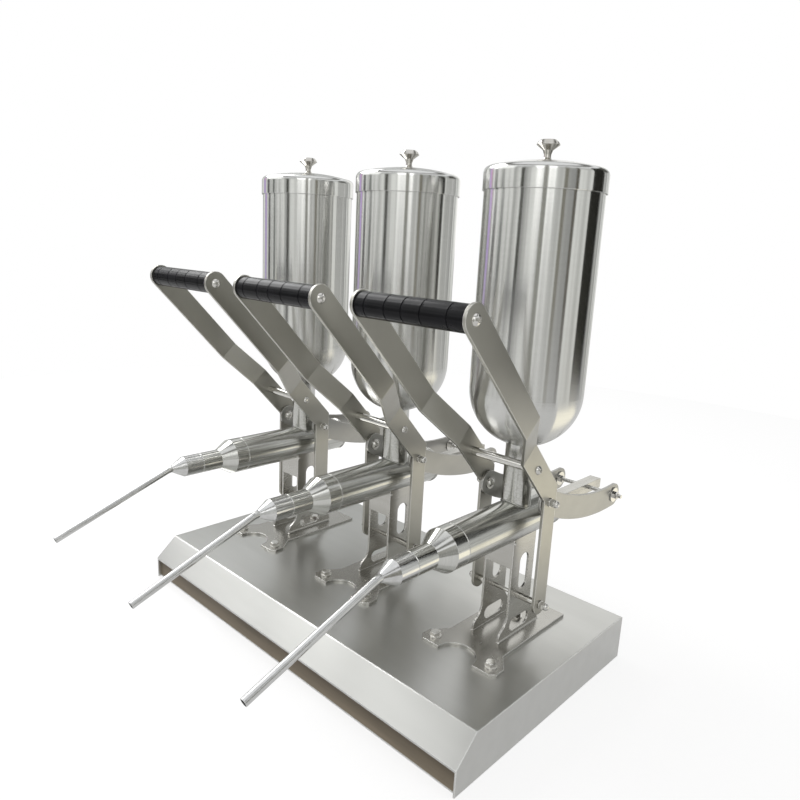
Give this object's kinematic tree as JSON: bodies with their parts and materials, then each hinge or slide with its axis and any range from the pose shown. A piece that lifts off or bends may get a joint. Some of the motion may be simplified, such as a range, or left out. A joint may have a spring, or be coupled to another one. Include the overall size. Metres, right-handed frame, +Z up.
{
  "type": "manual filling dispenser with levers and piston pumps",
  "caption": "Counter-top pastry filler: steel hoppers with lids, each over a hand-lever piston pump with a long bent nozzle, in a row on one base.",
  "frame": {"origin": "on the table, in the base's underside, straight below the middle hopper's axis", "axes": "+Z up; the row of pumps runs along X; the nozzles point to -Y, towards the user; +X is the user's right"},
  "size_m": [0.678, 0.6767, 0.7305],
  "materials": {
    "base_steel": "fine brushed stainless sheet",
    "base_steel_dark": "brushed stainless sheet, shaded behind the lip",
    "hopper_steel": "bright drawn stainless, faint upright grain",
    "lid_steel": "bright spun stainless",
    "knob_steel": "polished turned steel",
    "pump_steel": "polished stainless tube",
    "nozzle_steel": "polished stainless tube",
    "rod_steel": "machined stainless",
    "seal_rubber": "black rubber rings",
    "link_steel": "satin stainless plate",
    "lever_steel": "satin stainless plate, slightly warm",
    "bracket_steel": "satin stainless sheet",
    "fastener_steel": "bright steel bolts, nuts and washers",
    "grip_plastic": "glossy black, fine ribs along it"
  },
  "bodies": {
    "frame": {"base_shell": "base_steel", "base_front": "base_steel_dark", "base_plate": "base_steel", "hopper_1": "hopper_steel", "barrel_1": "pump_steel", "front_cap_1": "pump_steel", "nozzle_1": "nozzle_steel", "pivot_1": "fastener_steel", "bracket_1": "bracket_steel", "bracket_bolts_1": "fastener_steel", "hopper_2": "hopper_steel", "barrel_2": "pump_steel", "front_cap_2": "pump_steel", "nozzle_2": "nozzle_steel", "pivot_2": "fastener_steel", "bracket_2": "bracket_steel", "bracket_bolts_2": "fastener_steel", "hopper_3": "hopper_steel", "barrel_3": "pump_steel", "front_cap_3": "pump_steel", "nozzle_3": "nozzle_steel", "pivot_3": "fastener_steel", "bracket_3": "bracket_steel", "bracket_bolts_3": "fastener_steel"},
    "lever_1": {"lever_left_1": "lever_steel", "lever_right_1": "lever_steel", "grip_1": "grip_plastic", "grip_rod_1": "fastener_steel", "stop_rod_1": "rod_steel", "link_pins_1": "fastener_steel"},
    "link_1": {"links_1": "link_steel"},
    "plunger_1": {"piston_1": "rod_steel", "seals_1": "seal_rubber", "rear_pin_1": "fastener_steel"},
    "cover_1": {"lid_1": "lid_steel", "knob_1": "knob_steel"},
    "lever_2": {"lever_left_2": "lever_steel", "lever_right_2": "lever_steel", "grip_2": "grip_plastic", "grip_rod_2": "fastener_steel", "stop_rod_2": "rod_steel", "link_pins_2": "fastener_steel"},
    "link_2": {"links_2": "link_steel"},
    "plunger_2": {"piston_2": "rod_steel", "seals_2": "seal_rubber", "rear_pin_2": "fastener_steel"},
    "cover_2": {"lid_2": "lid_steel", "knob_2": "knob_steel"},
    "lever_3": {"lever_left_3": "lever_steel", "lever_right_3": "lever_steel", "grip_3": "grip_plastic", "grip_rod_3": "fastener_steel", "stop_rod_3": "rod_steel", "link_pins_3": "fastener_steel"},
    "link_3": {"links_3": "link_steel"},
    "plunger_3": {"piston_3": "rod_steel", "seals_3": "seal_rubber", "rear_pin_3": "fastener_steel"},
    "cover_3": {"lid_3": "lid_steel", "knob_3": "knob_steel"}
  },
  "joints": [
    {"name": "lever_turn_1", "type": "hinge", "parent": "frame", "child": "lever_1", "pos_m": [-0.233, 0, 0.124], "axis": [1, 0, 0], "range_deg": [-3, 34]},
    {"name": "link_turn_1", "type": "hinge", "parent": "lever_1", "child": "link_1", "pos_m": [-0.233, 0, 0.273], "axis": [1, 0, 0], "range_deg": [-27.6, 2.6]},
    {"name": "plunger_slide_1", "type": "slide", "parent": "frame", "child": "plunger_1", "axis": [0, -1, 0], "range_m": [-0.0073, 0.081]},
    {"name": "cover_lift_1", "type": "slide", "parent": "frame", "child": "cover_1", "axis": [0, 0, 1], "range_m": [0, 0.06]},
    {"name": "lever_turn_2", "type": "hinge", "parent": "frame", "child": "lever_2", "pos_m": [0, 0, 0.124], "axis": [1, 0, 0], "range_deg": [-3, 34]},
    {"name": "link_turn_2", "type": "hinge", "parent": "lever_2", "child": "link_2", "pos_m": [0, 0, 0.273], "axis": [1, 0, 0], "range_deg": [-27.6, 2.6]},
    {"name": "plunger_slide_2", "type": "slide", "parent": "frame", "child": "plunger_2", "axis": [0, -1, 0], "range_m": [-0.0073, 0.081]},
    {"name": "cover_lift_2", "type": "slide", "parent": "frame", "child": "cover_2", "axis": [0, 0, 1], "range_m": [0, 0.06]},
    {"name": "lever_turn_3", "type": "hinge", "parent": "frame", "child": "lever_3", "pos_m": [0.233, 0, 0.124], "axis": [1, 0, 0], "range_deg": [-3, 34]},
    {"name": "link_turn_3", "type": "hinge", "parent": "lever_3", "child": "link_3", "pos_m": [0.233, 0, 0.273], "axis": [1, 0, 0], "range_deg": [-27.6, 2.6]},
    {"name": "plunger_slide_3", "type": "slide", "parent": "frame", "child": "plunger_3", "axis": [0, -1, 0], "range_m": [-0.0073, 0.081]},
    {"name": "cover_lift_3", "type": "slide", "parent": "frame", "child": "cover_3", "axis": [0, 0, 1], "range_m": [0, 0.06]}
  ],
  "couplings": [
    {"joint": "link_turn_1", "follows": "lever_turn_1", "ratio": -0.80528},
    {"joint": "plunger_slide_1", "follows": "lever_turn_1", "m_per_rad": 0.136},
    {"joint": "link_turn_2", "follows": "lever_turn_2", "ratio": -0.80528},
    {"joint": "plunger_slide_2", "follows": "lever_turn_2", "m_per_rad": 0.136},
    {"joint": "link_turn_3", "follows": "lever_turn_3", "ratio": -0.80528},
    {"joint": "plunger_slide_3", "follows": "lever_turn_3", "m_per_rad": 0.136}
  ]
}
